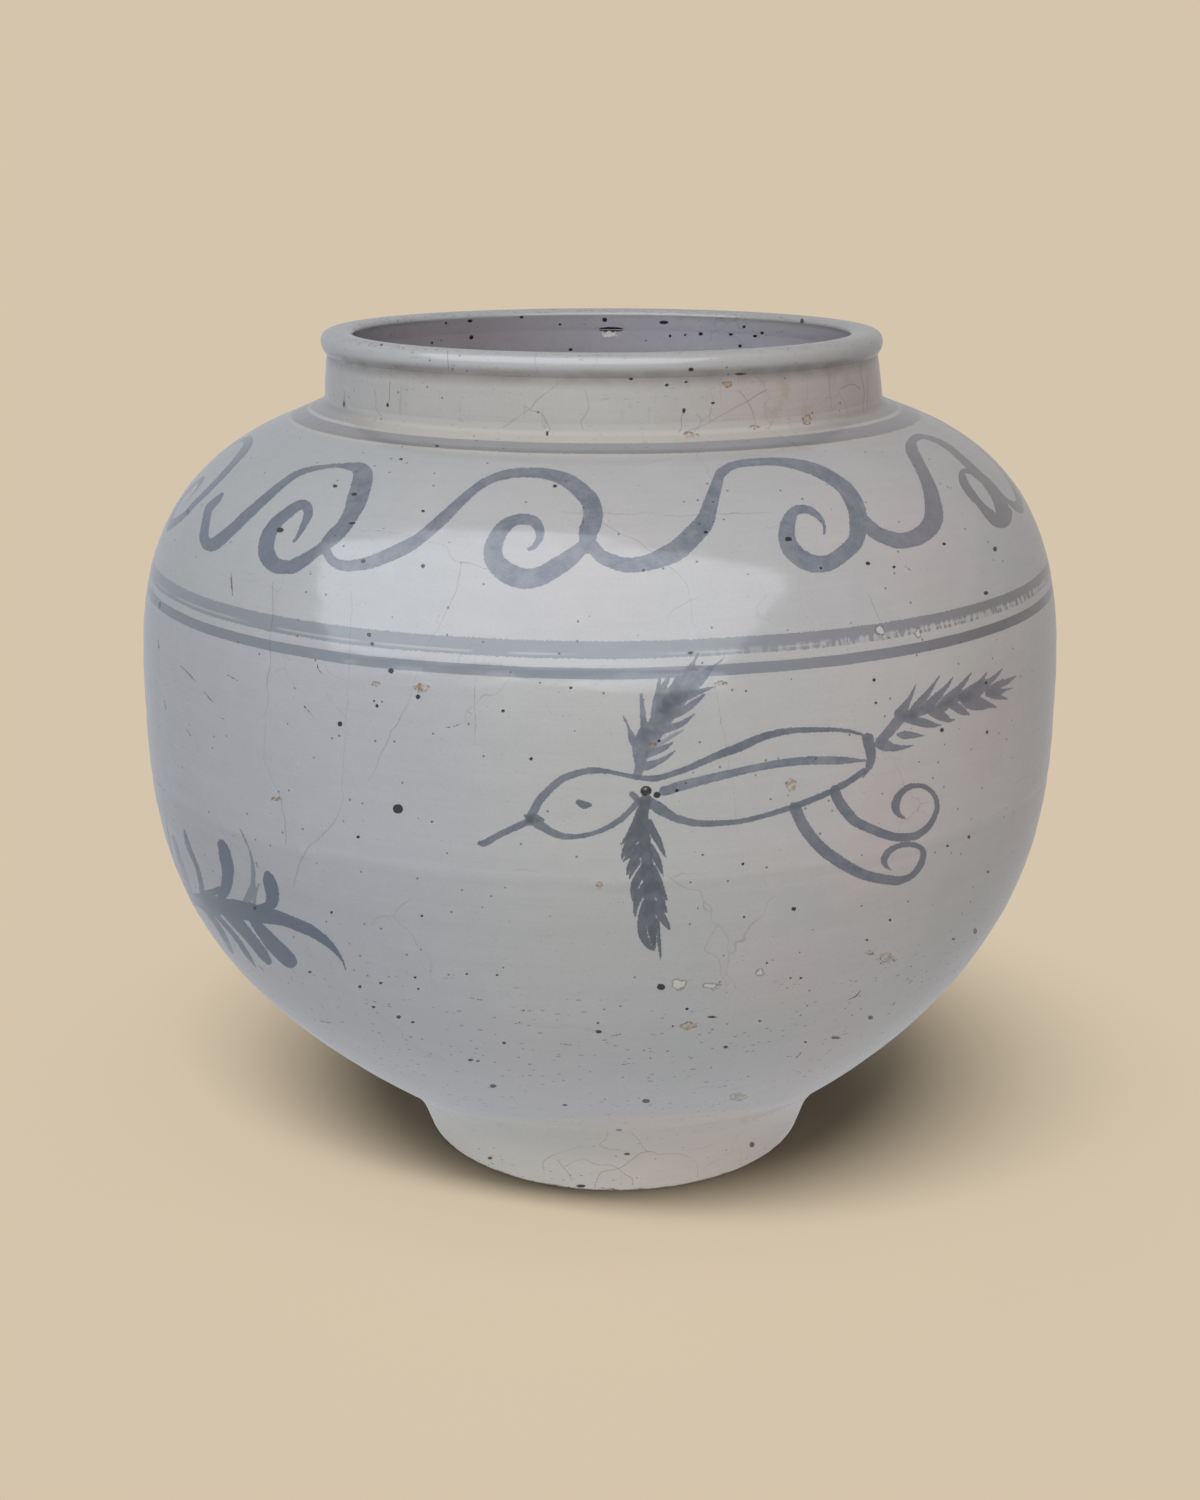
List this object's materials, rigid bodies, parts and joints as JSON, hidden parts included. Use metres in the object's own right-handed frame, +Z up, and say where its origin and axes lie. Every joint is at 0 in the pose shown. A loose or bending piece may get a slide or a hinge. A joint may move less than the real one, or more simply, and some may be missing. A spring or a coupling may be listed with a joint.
{
  "type": "jar",
  "caption": "Wide-shouldered wheel-thrown porcelain storage jar with a short neck, rolled lip, low foot ring and underglaze-blue painted bird, scrolls and bands.",
  "frame": {"origin": "on the resting plane, under the centre of the belly's widest circle", "axes": "+Z up through the mouth; the painted front with the bird looks along -Y; +X to the viewer's right"},
  "size_m": [0.38, 0.38, 0.3464],
  "materials": {
    "foot_glaze": "thin warm crazed glaze, gritty bare rim",
    "lower_glaze": "glossy lilac-grey glaze with pinholes",
    "upper_glaze": "glossy blue-grey white glaze, cobalt brushwork under it",
    "ring_glaze": "glossy glaze over a thin cobalt band",
    "neck_glaze": "glossy crazed grey-white glaze",
    "lip_glaze": "glossy grey-white glaze"
  },
  "bodies": {
    "root": {"foot_ring": "foot_glaze", "lower_bowl": "lower_glaze", "upper_bowl": "upper_glaze", "neck_ring": "ring_glaze", "neck_collar": "neck_glaze", "rolled_lip": "lip_glaze"}
  },
  "joints": []
}
